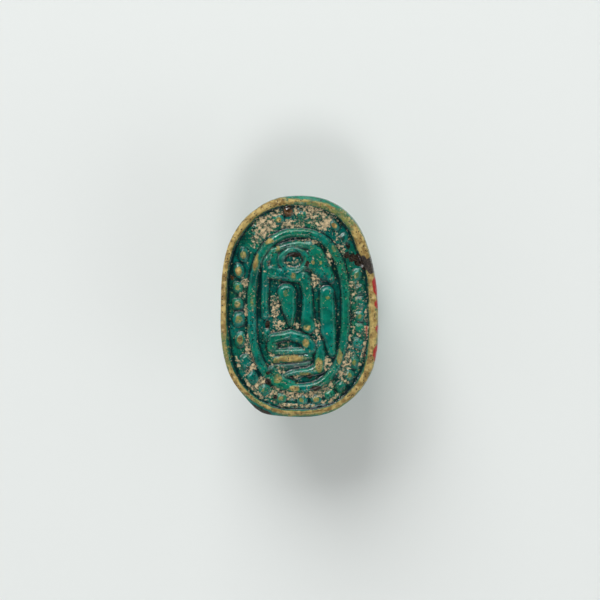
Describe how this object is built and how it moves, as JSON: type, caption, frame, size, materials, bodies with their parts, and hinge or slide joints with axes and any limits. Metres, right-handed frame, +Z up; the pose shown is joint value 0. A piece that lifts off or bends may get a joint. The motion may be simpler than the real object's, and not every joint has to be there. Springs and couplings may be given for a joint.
{
  "type": "scarab amulet",
  "caption": "Scarab amulet of glazed stone: oval base carved in sunk relief with a beaded border, beetle back with legs, and a lengthwise stringing hole.",
  "frame": {"origin": "middle of the footprint, on the flat spot of the beetle's back that the amulet lies on", "axes": "+Z up, towards the carved base; +Y towards the beetle's head, the top of the device; +X to the right in the carved face's own view"},
  "size_m": [0.0114, 0.016, 0.007],
  "materials": {
    "glazed_steatite": "worn glossy blue-green glaze over tan stone, cream soil in the recesses"
  },
  "bodies": {
    "root": {"scarab": "glazed_steatite"}
  },
  "joints": []
}
